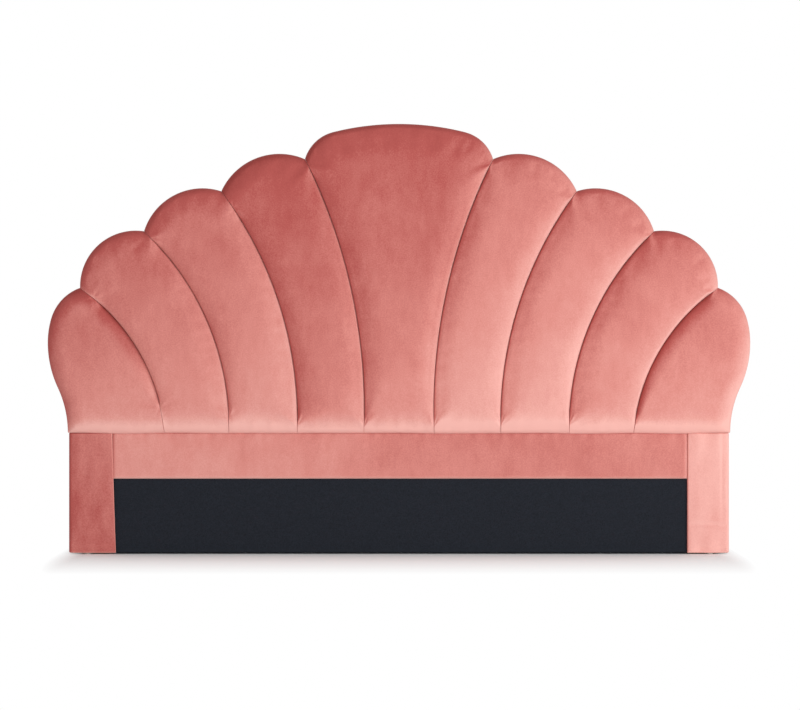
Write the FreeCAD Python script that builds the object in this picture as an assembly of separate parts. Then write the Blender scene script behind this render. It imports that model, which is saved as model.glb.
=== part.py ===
import FreeCAD, Part
import os
from math import atan2, cos, degrees, radians, sin, sqrt

# Floor-standing upholstered headboard, shaped as a fan of nine velvet channels (petals).
# Millimetres. +X to the right as seen from the bed, -Y towards the bed, +Z up.
# The origin is on the floor, under the middle of the bounding box.

# ---- overall sizes
overall_width = 1960.0
overall_height = 1200.0
base_height = 338.0          # floor to the underside of the fan

# ---- the figure of the fan, in shares of its half width and of its height
# Notches are the corners between petal tops; a seam runs from each notch to its foot.
notch_across = (0.268, 0.506, 0.726, 0.908)
notch_up = (0.886, 0.782, 0.6525, 0.469)
seam_foot_across = (0.100, 0.289, 0.483, 0.666)
seam_bow = (0.064, 0.085, 0.107, 0.113)      # sagitta of each seam over its chord
petal_top_bow = (0.205, 0.209, 0.235)        # sagitta of each petal top over its chord
widest_up = 0.292                            # height of the widest place
fan_foot_across = 0.943                      # half width where the fan meets the base

# ---- rounded ends of the crown and of the outermost petals
crown_end = 1.12             # radius of the end arcs over the crown's rise above its notches
crown_end_angle = 16.5       # the end arc's centre lies this far below the notch, degrees
# The shoulder's two arcs: radii over that of one arc from the notch to the widest place.
shoulder_tight = 0.743
shoulder_flat = 1.36

# ---- layers, front to back
velvet = 1.5
petal_foam = 37.0
fan_ply = 9.0
timber_depth = 45.0
dust_cloth = 1.0
edge_wadding = 5.0           # foam over the edge of the frame
petal_round = 24.0           # rounding of the petals' front edges
seam_gap = 2.0               # between two petals' covers, filled by the pull strip
pull_strip_height = 8.0
pull_strip_stop = 12.0       # the strip ends this far inside the outline
seam_run_out = 40.0          # cutting surfaces run this far past a seam's foot and notch

# ---- base
base_board = 18.0
leg_set_in = 4.0             # the leg's outer face lies this far inside the fan's foot
leg_face_width = 121.5
leg_front_foam = 6.0
leg_side_foam = 4.5
band_foam = 5.0
band_drop = 128.0            # height of the velvet band under the fan
front_cloth_sheet = 1.0
front_cloth_turn = 48.0      # how far the black cloth turns under the board

# ---- timber frame
post_width = 90.0
stile_width = 70.0
rim_width = 38.0             # width of the curved pieces that thicken the fan's edge
side_rim_foot = 60.0         # the lowest curved piece starts this far above the fan's foot
bottom_rail = 70.0
joint_rail = 90.0            # lies behind the joint between the base board and the fan
waist_rail = 60.0
waist_rail_drop = 82.0       # from the outermost notches down to the rail's upper edge
crown_rail = 70.0
crown_rail_drop = 12.0       # from the second notches down to the rail's upper edge

# ---- fixings and edges of the coverings
cover_return = 25.0          # velvet turned over onto the back of the frame
dust_cloth_set_in = 14.0
dust_cloth_clear = 10.0      # from the leg's underside up to the dust cloth
glide_height = 3.0
glide_radius = 10.0
glide_pin_radius = 1.25
glide_pin_length = 12.0
glide_edge = 11.0            # glide centre from the front and back faces of the leg
screw_radius = 2.0
screw_head_radius = 4.0
screw_length = 38.0
screw_pitch = 30.0           # between the two screws of one joint
staple_width = 10.0
staple_wire = 0.8
staple_leg = 8.0
staple_spacing = 130.0
staple_set_in = 20.0

# ---- worked out from the above
half_width = overall_width / 2
fan_height = overall_height - base_height
overall_depth = velvet + petal_foam + fan_ply + timber_depth + velvet + dust_cloth
front_y = -overall_depth / 2
foam_front_y = front_y + velvet
ply_front_y = foam_front_y + petal_foam
timber_front_y = ply_front_y + fan_ply
timber_back_y = timber_front_y + timber_depth
lap_y = timber_front_y + timber_depth / 2
velvet_back_y = timber_back_y + velvet
back_y = velvet_back_y + dust_cloth
board_front_y = timber_front_y - base_board

frame_inset = velvet + edge_wadding
room_inset = frame_inset + rim_width
fan_foot_x = fan_foot_across * half_width
leg_outer_x = fan_foot_x - leg_set_in
frame_half = leg_outer_x - velvet - leg_side_foam
leg_inner_x = leg_outer_x - leg_face_width
cover_floor_z = glide_height
frame_floor_z = cover_floor_z + velvet
waist_top_z = base_height + notch_up[3] * fan_height - waist_rail_drop
crown_top_z = base_height + notch_up[1] * fan_height - crown_rail_drop

SIDES = (("left", -1), ("right", 1))


def point(x, z, y=0.0):
    return FreeCAD.Vector(x, y, z)


def box(x0, x1, y0, y1, z0, z1):
    return Part.makeBox(x1 - x0, y1 - y0, z1 - z0, point(x0, z0, y0))


def mirrored(shape):
    return shape.mirror(point(0, 0), FreeCAD.Vector(1, 0, 0))


def on_side(shape, side):
    return shape if side > 0 else mirrored(shape)


def joined(shapes):
    first, *rest = shapes
    return first.fuse(rest).removeSplitter() if rest else first


def fan_point(across, up):
    """A place in the fan, from its shares of the half width and of the fan's height."""
    return point(across * half_width, base_height + up * fan_height)


notches = [fan_point(a, u) for a, u in zip(notch_across, notch_up)]
seam_feet = [fan_point(a, 0) for a in seam_foot_across]


def bowed_arc(start, end, share):
    """The arc from start to end that bows to its left by a share of its chord."""
    chord = end - start
    left = point(-chord.z, chord.x)
    return Part.Arc(start, (start + end) / 2 + left * share, end)


def crown_edges():
    """The centre petal's top: a flat arc between two smaller arcs that start at the notches."""
    right = notches[0]
    end_radius = crown_end * (overall_height - right.z)
    low = radians(crown_end_angle)
    end_centre = right - point(cos(low), sin(low)) * end_radius
    drop = overall_height - end_centre.z
    reach = end_centre.x ** 2 + drop ** 2 - end_radius ** 2
    top_radius = reach / (2 * (drop - end_radius))
    top_centre = point(0, overall_height - top_radius)
    outward = (end_centre - top_centre).normalize()
    tangent = top_centre + outward * top_radius
    half_way = (low + atan2(outward.z, outward.x)) / 2
    middle = end_centre + point(cos(half_way), sin(half_way)) * end_radius
    right_end = Part.Arc(tangent, middle, right).toShape()
    top = Part.Arc(point(-tangent.x, tangent.z), point(0, overall_height), tangent).toShape()
    return [mirrored(right_end), top, right_end]


def shoulder_edges():
    """The outermost petal from its notch to its widest place: a small arc, then a larger one."""
    notch = notches[-1]
    widest = fan_point(1, widest_up)
    across, rise = widest.x - notch.x, notch.z - widest.z
    one_arc = (across ** 2 + rise ** 2) / (2 * across)
    tight, flat = shoulder_tight * one_arc, shoulder_flat * one_arc
    flat_centre = widest - point(flat, 0)
    span = (notch - flat_centre).Length
    towards = (notch - flat_centre).normalize()
    along = (span ** 2 + (flat - tight) ** 2 - tight ** 2) / (2 * span)
    aside = sqrt((flat - tight) ** 2 - along ** 2)
    tight_centre = flat_centre + towards * along + point(towards.z, -towards.x) * aside
    outward = (tight_centre - flat_centre).normalize()
    tangent = flat_centre + outward * flat
    near = ((notch - tight_centre).normalize() + outward).normalize()
    far = (outward + point(1, 0)).normalize()
    upper = Part.Arc(notch, tight_centre + near * tight, tangent).toShape()
    lower = Part.Arc(tangent, flat_centre + far * flat, widest).toShape()
    return [upper, lower]


def flank_edges():
    """Below the widest place: two equal arcs, out and back, that end upright at the foot."""
    widest = fan_point(1, widest_up)
    foot = point(fan_foot_x, base_height)
    middle = (widest + foot) / 2
    draw_in = widest.x - foot.x
    drop = widest.z - foot.z
    radius = (draw_in ** 2 + drop ** 2) / (4 * draw_in)
    turn = atan2(drop, 2 * radius - draw_in) / 2
    reach = point(cos(turn), -sin(turn)) * radius
    upper = widest - point(radius, 0) + reach
    lower = foot + point(radius, 0) - reach
    return [Part.Arc(widest, upper, middle).toShape(), Part.Arc(middle, lower, foot).toShape()]


def fan_outline():
    """The fan's face, carried a little below its foot so that insets stay true there."""
    tops = zip(notches, notches[1:], petal_top_bow)
    side = [bowed_arc(a, b, share).toShape() for a, b, share in tops]
    side += shoulder_edges() + flank_edges()
    foot = point(fan_foot_x, base_height)
    tail = foot - point(0, room_inset + base_board)
    side.append(Part.makeLine(foot, tail))
    left = [mirrored(edge) for edge in side]
    bottom = Part.makeLine(tail, point(-tail.x, tail.z))
    edges = crown_edges() + side + left + [bottom]
    return Part.Face(Part.Wire(Part.__sortEdges__(edges)))


outline = fan_outline()


def fan_slab(inset, y0, y1, foot_inset=0.0):
    """The fan's shape, smaller by inset all round its edge, from y0 to y1."""
    face = outline.makeOffset2D(-inset) if inset else outline.copy()
    face.translate(point(0, 0, y0))
    slab = face.extrude(point(0, 0, y1 - y0))
    below = box(-half_width, half_width, y0, y1, 0, base_height + foot_inset)
    return slab.cut(below)


def turned(arrow, angle):
    """A direction in the XZ plane turned clockwise, as seen from the front."""
    c, s = cos(angle), sin(angle)
    return point(arrow.x * c + arrow.z * s, arrow.z * c - arrow.x * s)


def beyond_seam(seam, grow, y0, y1):
    """All that lies outside a right-hand seam, moved grow towards the middle, as one prism."""
    arc = bowed_arc(seam_feet[seam], notches[seam], seam_bow[seam]).toShape()
    centre, radius = arc.Curve.Center, arc.Curve.Radius
    run_out = seam_run_out / radius
    low, mid, high = [(place - centre).normalize() for place in arc.discretize(3)]
    arrows = [turned(low, -run_out), mid, turned(high, run_out)]
    foot, middle, top = [centre + arrow * (radius + grow) for arrow in arrows]
    far_x = overall_width + overall_height
    corners = [top, point(top.x, far_x), point(far_x, far_x), point(far_x, -far_x),
               point(foot.x, -far_x), foot]
    edges = [Part.Arc(foot, middle, top).toShape()]
    edges += [Part.makeLine(a, b) for a, b in zip(corners, corners[1:])]
    face = Part.Face(Part.Wire(edges))
    face.translate(point(0, 0, y0))
    return face.extrude(point(0, 0, y1 - y0))


def petal_room(slab, petal, gap, y0, y1):
    """The part of a slab between a petal's seams, gap short of each; petal 0 is the centre."""
    if petal > 0:
        slab = slab.common(beyond_seam(petal - 1, -gap, y0, y1))
    if petal < len(notches):
        beyond = beyond_seam(petal, gap, y0, y1)
        slab = slab.cut(beyond)
        if petal == 0:
            slab = slab.cut(mirrored(beyond))
    return slab


def rounded_petal(petal, inset):
    """A petal with its front edges rounded, smaller by inset on every face."""
    y0 = front_y + inset
    y1 = velvet_back_y - inset
    slab = fan_slab(inset, y0, y1, inset)
    solid = petal_room(slab, petal, seam_gap / 2 + inset, y0, y1)
    front = [e for e in solid.Edges if e.BoundBox.YMax - y0 < 0.001]
    return solid.makeFillet(petal_round - inset, front)


def petal_cover_and_foam(petal):
    """The velvet of one petal, with its walls in the seams, and the foam that fills it."""
    outer = rounded_petal(petal, 0.0)
    inner = rounded_petal(petal, velvet)
    behind_velvet = fan_slab(velvet, ply_front_y, timber_back_y)
    behind_return = fan_slab(cover_return, timber_back_y, velvet_back_y)
    cover = outer.cut([inner, behind_velvet, behind_return])
    foam = inner.cut(fan_slab(frame_inset, ply_front_y, timber_back_y))
    return cover, foam


def rim_piece(petal):
    """The curved timber behind one petal's top edge, cut clear of the post."""
    y0, y1 = timber_front_y, timber_back_y
    ring = fan_slab(frame_inset, y0, y1).cut(fan_slab(room_inset, y0, y1))
    piece = petal_room(ring, petal, 0.0, y0, y1)
    posts = box(-frame_half, frame_half, y0, y1, 0, waist_top_z)
    foot = box(-half_width, half_width, y0, y1, 0, base_height + side_rim_foot)
    return piece.cut([posts, foot])


def pull_strips(seam):
    """The pair of stiff strips that hold one seam down to the plywood, left and right."""
    y1 = ply_front_y
    y0 = y1 - pull_strip_height
    slab = fan_slab(pull_strip_stop, y0, y1, velvet)
    half = seam_gap / 2
    strip = slab.common(beyond_seam(seam, half, y0, y1)).cut(beyond_seam(seam, -half, y0, y1))
    strip = strip.common(box(0, half_width, y0, y1, base_height, overall_height))
    return Part.Compound([strip, mirrored(strip)])


def upright_sizes():
    """Left and right faces and top of each upright; a stile stands behind a petal's middle."""
    middles = {"centre_stile": 0.0}
    for name, petal in (("inner_stile", 1), ("outer_stile", 2)):
        middle = (notches[petal - 1].x + notches[petal].x) / 2
        middles[name + "_left"] = -middle
        middles[name + "_right"] = middle
    half = stile_width / 2
    sizes = {name: (x - half, x + half, overall_height) for name, x in middles.items()}
    sizes["post_left"] = (-frame_half, post_width - frame_half, waist_top_z)
    sizes["post_right"] = (frame_half - post_width, frame_half, waist_top_z)
    return sizes


def rail_sizes(uprights):
    """Left and right ends, lower and upper edges of each rail."""
    joint_z = base_height - joint_rail / 2
    crown_reach = uprights["inner_stile_right"][1]
    return {
        "bottom_rail": (-frame_half, frame_half, frame_floor_z, frame_floor_z + bottom_rail),
        "joint_rail": (-frame_half, frame_half, joint_z, joint_z + joint_rail),
        "waist_rail": (-half_width, half_width, waist_top_z - waist_rail, waist_top_z),
        "crown_rail": (-crown_reach, crown_reach, crown_top_z - crown_rail, crown_top_z),
    }


def timber_frame():
    """Uprights and rails, halved into each other where they cross, ends cut to the rim."""
    y0, y1 = timber_front_y, timber_back_y
    room = fan_slab(room_inset, y0, y1)
    room = room.fuse(box(-frame_half, frame_half, y0, y1, frame_floor_z, waist_top_z))
    uprights = upright_sizes()
    rails = rail_sizes(uprights)
    timbers = {}
    for name, (x0, x1, top) in uprights.items():
        timbers[name] = box(x0, x1, y0, y1, frame_floor_z, top).common(room)
    for name, (x0, x1, z0, z1) in rails.items():
        timbers[name] = box(x0, x1, y0, y1, z0, z1).common(room)
    crossings = []
    for upright, (x0, x1, top) in uprights.items():
        for rail, (left, right, z0, z1) in rails.items():
            if x1 <= left or x0 >= right or z0 >= top:
                continue
            timbers[upright] = timbers[upright].cut(box(x0, x1, lap_y, y1, z0, z1))
            timbers[rail] = timbers[rail].cut(box(x0, x1, y0, lap_y, z0, z1))
            crossings.append(point((x0 + x1) / 2, (z0 + z1) / 2))
    return timbers, crossings


def screw(x, z, y_head, way):
    """A countersunk screw with its head flush at y_head, driven along way (+1 is +Y)."""
    axis = FreeCAD.Vector(0, way, 0)
    start = point(x, z, y_head)
    countersink = screw_head_radius - screw_radius
    head = Part.makeCone(screw_head_radius, screw_radius, countersink, start, axis)
    shank = Part.makeCylinder(screw_radius, screw_length, start, axis)
    return head.fuse(shank).removeSplitter()


def lap_screws(crossings):
    """Two screws through each halved joint, set diagonally, driven in from the back."""
    half = screw_pitch / 2
    places = [(c.x + s * half, c.z + s * half) for c in crossings for s in (-1, 1)]
    return [screw(x, z, timber_back_y, -1) for x, z in places]


def panel_screws(uprights):
    """Screws from the front, under the foam, through the board and plywood into the frame."""
    base_low = frame_floor_z + bottom_rail / 4
    base_high = base_height - joint_rail / 4
    fan_low = base_height + joint_rail / 4
    fan_high = waist_top_z - waist_rail / 4
    middles = [(x0 + x1) / 2 for x0, x1, top in uprights.values()]
    screws = [screw(x, z, board_front_y, 1) for x in middles for z in (base_low, base_high)]
    screws += [screw(x, z, ply_front_y, 1) for x in middles for z in (fan_low, fan_high)]
    return screws


def back_fan(inset, y0, y1):
    """The outline of the whole back, fan and base together, smaller by inset."""
    low = cover_floor_z + dust_cloth_clear
    base = box(inset - leg_outer_x, leg_outer_x - inset, y0, y1, low, base_height)
    return joined([fan_slab(inset, y0, y1), base])


def staple(place, along):
    """One staple seen from behind, its crown along a direction and flush with the cloth."""
    half = staple_width / 2
    wire = staple_wire
    crown = box(-half, half, back_y - wire, back_y, -wire / 2, wire / 2)
    legs = [box(x, x + wire, back_y - staple_leg, back_y, -wire / 2, wire / 2)
            for x in (-half, half - wire)]
    shape = joined([crown] + legs)
    shape.rotate(point(0, 0), FreeCAD.Vector(0, 1, 0), -degrees(atan2(along.z, along.x)))
    shape.translate(place)
    return shape


def staples():
    """Staples round the back of the fan, down the backs of the legs and along the foot."""
    line = outline.makeOffset2D(-staple_set_in).OuterWire
    count = int(line.Length / staple_spacing)
    spots = line.discretize(Number=count + 1)
    row = []
    for here, ahead in zip(spots, spots[1:]):
        if here.z > base_height + staple_width:
            row.append(staple(here, ahead - here))
    leg_x = leg_outer_x - staple_set_in
    rows = int((base_height - frame_floor_z) / staple_spacing)
    for step in range(rows):
        z = base_height - (step + 0.5) * staple_spacing
        row += [staple(point(side * leg_x, z), point(0, 1)) for _, side in SIDES]
    foot_z = cover_floor_z + dust_cloth_clear + staple_width
    pairs = int(leg_inner_x / staple_spacing)
    for step in range(pairs):
        x = (step + 0.5) * staple_spacing
        row += [staple(point(side * x, foot_z), point(1, 0)) for _, side in SIDES]
    return row


def leg_pad():
    """Thin foam over the front and the outer side of the right-hand leg."""
    x1 = leg_outer_x - velvet
    y0 = board_front_y - leg_front_foam
    whole = box(leg_inner_x + velvet, x1, y0, timber_back_y, frame_floor_z, base_height)
    core = box(0, frame_half, board_front_y, timber_back_y, 0, base_height)
    return whole.cut(core)


def leg_cover():
    """Velvet round the right-hand leg: front, outer side, underside and a return at the back."""
    y0 = board_front_y - leg_front_foam - velvet
    whole = box(leg_inner_x, leg_outer_x, y0, velvet_back_y, cover_floor_z, base_height)
    x0, x1 = leg_inner_x + velvet, leg_outer_x - velvet
    inside = box(x0, x1, y0 + velvet, timber_back_y, frame_floor_z, base_height)
    beside = box(0, x0, board_front_y, velvet_back_y, frame_floor_z, base_height)
    return_x = leg_outer_x - cover_return - dust_cloth_set_in
    behind = box(0, return_x, timber_back_y, velvet_back_y, cover_floor_z, base_height)
    return whole.cut([inside, beside, behind])


def band():
    """The velvet band under the fan, between the legs: its pad and its cover."""
    y0 = board_front_y - band_foam
    z0 = base_height - band_drop
    pad = box(-leg_inner_x, leg_inner_x, y0, board_front_y, z0 + velvet, base_height)
    face = box(-leg_inner_x, leg_inner_x, y0 - velvet, y0, z0, base_height)
    fold = box(-leg_inner_x, leg_inner_x, y0 - velvet, board_front_y, z0, z0 + velvet)
    return pad, joined([face, fold])


def front_cloth():
    """Black cloth between the legs, from the band down, turned under the base board."""
    y0 = board_front_y - front_cloth_sheet
    z0 = frame_floor_z - front_cloth_sheet
    face = box(-leg_inner_x, leg_inner_x, y0, board_front_y, z0, base_height - band_drop)
    turn = box(-leg_inner_x, leg_inner_x, y0, board_front_y + front_cloth_turn, z0, frame_floor_z)
    return joined([face, turn])


def glides():
    """Two nail-on glides under each leg."""
    x = frame_half - post_width / 2
    depths = (board_front_y + glide_edge, timber_back_y - glide_edge)
    made = []
    for centre_x in (-x, x):
        for y in depths:
            disc = Part.makeCylinder(glide_radius, glide_height, point(centre_x, 0, y))
            pin = Part.makeCylinder(
                glide_pin_radius, glide_height + glide_pin_length, point(centre_x, 0, y))
            made.append(disc.fuse(pin).removeSplitter())
    return made


def build_all():
    """Every piece by its node name."""
    nodes = {}
    for petal in range(len(notches) + 1):
        cover, foam = petal_cover_and_foam(petal)
        rim = rim_piece(petal)
        if petal == 0:
            names = (("centre", 1),)
        else:
            names = tuple((f"{petal}_{word}", side) for word, side in SIDES)
        for name, side in names:
            nodes[f"petal_cover_{name}"] = on_side(cover, side)
            nodes[f"petal_foam_{name}"] = on_side(foam, side)
            nodes[f"rim_{name}"] = on_side(rim, side)
    for seam in range(len(notches)):
        nodes[f"pull_strips_{seam + 1}"] = pull_strips(seam)

    nodes["fan_panel"] = fan_slab(frame_inset, ply_front_y, timber_front_y)
    nodes["base_board"] = box(
        -frame_half, frame_half, board_front_y, timber_front_y, frame_floor_z, base_height)
    timbers, crossings = timber_frame()
    nodes.update(timbers)
    for word, side in SIDES:
        nodes[f"leg_pad_{word}"] = on_side(leg_pad(), side)
        nodes[f"leg_cover_{word}"] = on_side(leg_cover(), side)
    nodes["band_pad"], nodes["band_cover"] = band()
    nodes["front_cloth"] = front_cloth()
    nodes["dust_cloth"] = back_fan(dust_cloth_set_in, velvet_back_y, back_y)

    fixings = {
        "glides": glides(),
        "lap_screws": lap_screws(crossings),
        "panel_screws": panel_screws(upright_sizes()),
        "staples": staples(),
    }
    for pieces in fixings.values():
        drill(nodes, pieces)
    for name, pieces in fixings.items():
        nodes[name] = Part.Compound(pieces)
    return nodes


def drill(nodes, pieces):
    """Cuts each fixing's own shape out of every piece that it goes into."""
    for name, shape in nodes.items():
        cutters = [p for p in pieces if p.BoundBox.intersect(shape.BoundBox)]
        if cutters:
            nodes[name] = shape.cut(cutters)


def main():
    os.makedirs("parts", exist_ok=True)
    nodes = build_all()
    for name, shape in nodes.items():
        solids = shape.Solids
        volume = sum(s.Volume for s in solids)
        print(f"{name:24s} {len(solids):3d} solids {volume / 1000:10.1f} cm3 {shape.isValid()}")
        Part.Compound(solids).exportStep(f"parts/{name}.step")


main()
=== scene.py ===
# %% [markdown]
# # A velvet headboard, shaped like a scallop shell
# The headboard stands on the floor. Nine padded velvet petals fan out from its base, with
# deep seams between them. Under the fan are a velvet band, two wrapped legs and a black cloth.
# The model is built round a frame that is already made to size: its timber, boards, screws and
# staples stay as they are and get materials, and the soft parts are modelled here in their places.

# %% Load the frame and keep its box
import math

import bmesh
import bpy
import numpy as np
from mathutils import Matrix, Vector


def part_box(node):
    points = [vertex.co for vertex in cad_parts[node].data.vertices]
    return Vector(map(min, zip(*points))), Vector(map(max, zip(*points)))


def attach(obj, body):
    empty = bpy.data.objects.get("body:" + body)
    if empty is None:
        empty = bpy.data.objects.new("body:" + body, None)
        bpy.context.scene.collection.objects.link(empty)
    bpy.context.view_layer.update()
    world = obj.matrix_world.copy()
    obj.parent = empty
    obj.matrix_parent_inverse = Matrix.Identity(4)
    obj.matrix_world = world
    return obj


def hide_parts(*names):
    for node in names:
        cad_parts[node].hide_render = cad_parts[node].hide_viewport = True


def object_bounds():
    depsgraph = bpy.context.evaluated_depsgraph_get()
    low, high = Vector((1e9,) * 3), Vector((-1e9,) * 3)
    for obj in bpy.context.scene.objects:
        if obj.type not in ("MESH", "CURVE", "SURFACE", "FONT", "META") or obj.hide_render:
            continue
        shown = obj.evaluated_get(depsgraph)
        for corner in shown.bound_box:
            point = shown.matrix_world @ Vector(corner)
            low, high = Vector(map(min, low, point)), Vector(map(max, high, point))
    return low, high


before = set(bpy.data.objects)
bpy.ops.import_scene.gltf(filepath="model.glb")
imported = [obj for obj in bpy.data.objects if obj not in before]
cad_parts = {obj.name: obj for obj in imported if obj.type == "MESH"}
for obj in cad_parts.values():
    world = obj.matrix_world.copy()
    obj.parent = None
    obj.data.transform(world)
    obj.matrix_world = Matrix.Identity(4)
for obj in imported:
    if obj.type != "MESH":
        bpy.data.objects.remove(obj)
cad_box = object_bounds()
mm = 0.001
print("frame:", len(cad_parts), "nodes, box", [[round(x, 4) for x in c] for c in cad_box])

# %% [markdown]
# ## The fan's figure
# A shell fan is drawn with arcs: a seam runs up from the foot to each notch of the rim, bowed
# towards the middle, and each petal has an arc on top. One could trace these by eye with a
# spline. Shares of the width and height are used instead, so that the figure always fits the
# frame it is given. Everything is worked out for the right half, and mirrored for the left.

# %% Driving shares and sizes
NOTCHES = [(0.268, 0.886), (0.506, 0.782), (0.726, 0.6525), (0.908, 0.469)]
SEAM_FEET = [0.100, 0.289, 0.483, 0.666]
SEAM_BOWS = [0.064, 0.085, 0.107, 0.113]
TOP_BOWS = [0.205, 0.209, 0.235]
WIDEST_UP, FOOT_ACROSS = 0.292, 0.943
CROWN_END, CROWN_END_ANGLE = 1.12, math.radians(16.5)
SHOULDER_TIGHT, SHOULDER_FLAT = 0.743, 1.36

half_width = cad_box[1].x
top_z = cad_box[1].z
foot_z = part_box("petal_cover_centre")[0].z
front_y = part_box("petal_cover_centre")[0].y
panel_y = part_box("fan_panel")[0].y
timber_back_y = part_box("bottom_rail")[1].y
velvet_back_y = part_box("leg_cover_right")[1].y
print("fan: half width %.3f, from z %.3f to %.3f" % (half_width, foot_z, top_z))


def fan_point(across, up):
    """A point of the fan from its shares of the half width and of the fan's height."""
    return np.array([across * half_width, foot_z + up * (top_z - foot_z)])


notches = [fan_point(*n) for n in NOTCHES]
seam_feet = [fan_point(a, 0) for a in SEAM_FEET]
widest = fan_point(1, WIDEST_UP)
fan_foot = fan_point(FOOT_ACROSS, 0)


# %% Arcs
def arc_of(a, b, bow):
    """Centre and radius of the arc from a to b whose middle stands bow chords to the left:
    the radius is (half chord squared + rise squared) / (2 rise)."""
    chord = b - a
    length = np.hypot(*chord)
    left = np.array([-chord[1], chord[0]]) / length
    rise = bow * length
    radius = (length ** 2 / 4 + rise ** 2) / (2 * rise)
    return (a + b) / 2 + left * (rise - radius), radius


def arc_points(centre, radius, start, end, count=160):
    """Points of an arc about a centre, from one angle to another by the shorter way round."""
    sweep = (end - start + math.pi) % (2 * math.pi) - math.pi
    angle = start + sweep * np.linspace(0, 1, count)
    return centre + radius * np.stack([np.cos(angle), np.sin(angle)], axis=1)


def angle_of(v):
    """The angle of a vector."""
    return math.atan2(v[1], v[0])


def arc_between(a, b, bow, count=160):
    """Points of the bowed arc from a to b."""
    centre, radius = arc_of(a, b, bow)
    return arc_points(centre, radius, angle_of(a - centre), angle_of(b - centre), count)


# %% Seams and outline of the right half
seams = [arc_between(f, n, s) for f, n, s in zip(seam_feet, notches, SEAM_BOWS)]


def crown_half():
    """The centre petal's top from its middle to the notch: a flat arc, then a small one that
    meets it without a corner, because both centres lie on one line through the meeting point."""
    right = notches[0]
    end_radius = CROWN_END * (top_z - right[1])
    low = CROWN_END_ANGLE
    end_centre = right - end_radius * np.array([math.cos(low), math.sin(low)])
    drop = top_z - end_centre[1]
    top_radius = (end_centre[0] ** 2 + drop ** 2 - end_radius ** 2) / (2 * (drop - end_radius))
    top_centre = np.array([0, top_z - top_radius])
    meet = angle_of(end_centre - top_centre)
    flat = arc_points(top_centre, top_radius, math.pi / 2, meet)
    return np.concatenate([flat, arc_points(end_centre, end_radius, meet, low)[1:]])


def shoulder():
    """The outer petal from its notch to its widest place: a tight arc, then a flat one."""
    notch = notches[-1]
    across, rise = widest[0] - notch[0], notch[1] - widest[1]
    one_arc = (across ** 2 + rise ** 2) / (2 * across)
    tight, flat = SHOULDER_TIGHT * one_arc, SHOULDER_FLAT * one_arc
    flat_centre = widest - np.array([flat, 0])
    span = np.hypot(*(notch - flat_centre))
    towards = (notch - flat_centre) / span
    along = (span ** 2 + (flat - tight) ** 2 - tight ** 2) / (2 * span)
    aside = math.sqrt((flat - tight) ** 2 - along ** 2)
    tight_centre = flat_centre + towards * along + aside * np.array([towards[1], -towards[0]])
    meet = angle_of(tight_centre - flat_centre)
    upper = arc_points(tight_centre, tight, angle_of(notch - tight_centre), meet)
    return np.concatenate([upper, arc_points(flat_centre, flat, meet, 0)[1:]])


def flank():
    """From the widest place down to the foot: two equal arcs, out and back."""
    draw_in, drop = widest[0] - fan_foot[0], widest[1] - fan_foot[1]
    radius = (draw_in ** 2 + drop ** 2) / (4 * draw_in)
    turn = math.asin(drop / 2 / radius)
    upper = arc_points(widest - [radius, 0], radius, 0, -turn)
    lower = arc_points(fan_foot + [radius, 0], radius, math.pi - turn, math.pi)
    return np.concatenate([upper, lower[1:]])


tops = [arc_between(a, b, s) for a, b, s in zip(notches, notches[1:], TOP_BOWS)]
outer_edge = np.concatenate([shoulder(), flank()[1:]])
half_outline = np.concatenate([crown_half(), *[t[1:] for t in tops], outer_edge[1:]])
mirror_x = np.array([-1.0, 1.0])
whole_outline = np.concatenate([half_outline[::-1] * mirror_x, half_outline[1:]])
print("outline:", len(whole_outline), "points, widest", round(float(whole_outline[:, 0].max()), 4))

# %% [markdown]
# ## Small helpers for surfaces
# A surface is a grid of points, worked out as whole arrays. Two such grids, the outside and the
# inside of a pad, make a closed shell when a strip of faces joins their four edges.


# %% Helpers on arrays
def smooth(x, low, high):
    """0 below low, 1 above high, and 3t^2 - 2t^3 in between."""
    t = np.clip((x - low) / (high - low), 0, 1)
    return t * t * (3 - 2 * t)


def round_off(t):
    """A quarter ellipse: 1 at t = 0, where it is upright, and 0 from t = 1, where it is level."""
    return 1 - np.sqrt(1 - (1 - np.clip(t, 0, 1)) ** 2)


def pinched(count, pinch):
    """Shares from 0 to 1 that crowd at both ends: t - pinch sin(2 pi t) / (2 pi)."""
    t = np.linspace(0, 1, count)
    return t - pinch * np.sin(2 * np.pi * t) / (2 * np.pi)


def resampled(line, shares):
    """Points at shares of a line's length."""
    steps = np.concatenate([[0], np.cumsum(np.hypot(*np.diff(line, axis=0).T))])
    at = np.asarray(shares) * steps[-1]
    return np.stack([np.interp(at, steps, line[:, k]) for k in (0, 1)], axis=1)


def off_line(points, line):
    """Distance of each point to a polyline: the least over its straight steps, where the foot
    of the perpendicular is held between the step's ends."""
    a, step = line[:-1], np.diff(line, axis=0)
    long = (step ** 2).sum(1)
    flat = points.reshape(-1, 2)
    best = np.full(len(flat), np.inf)
    for low in range(0, len(a), 200):
        part = slice(low, low + 200)
        away = flat[:, None] - a[part]
        t = np.clip((away * step[part]).sum(2) / long[part], 0, 1)
        near = away - t[..., None] * step[part]
        best = np.minimum(best, (near ** 2).sum(2).min(1))
    return np.sqrt(best).reshape(points.shape[:-1])


def patch(bottom, top, left, right, across, up):
    """A Coons patch: the sheet ruled between bottom and top, plus the one between left and
    right, less the flat one between the four corners."""
    b, t = resampled(bottom, across)[None], resampled(top, across)[None]
    from_left, to_right = resampled(left, up)[:, None], resampled(right, up)[:, None]
    u, v = across[None, :, None], up[:, None, None]
    corners = (1 - u) * (1 - v) * b[:, :1] + u * (1 - v) * b[:, -1:]
    corners = corners + (1 - u) * v * t[:, :1] + u * v * t[:, -1:]
    return (1 - v) * b + v * t + (1 - u) * from_left + u * to_right - corners


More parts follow.
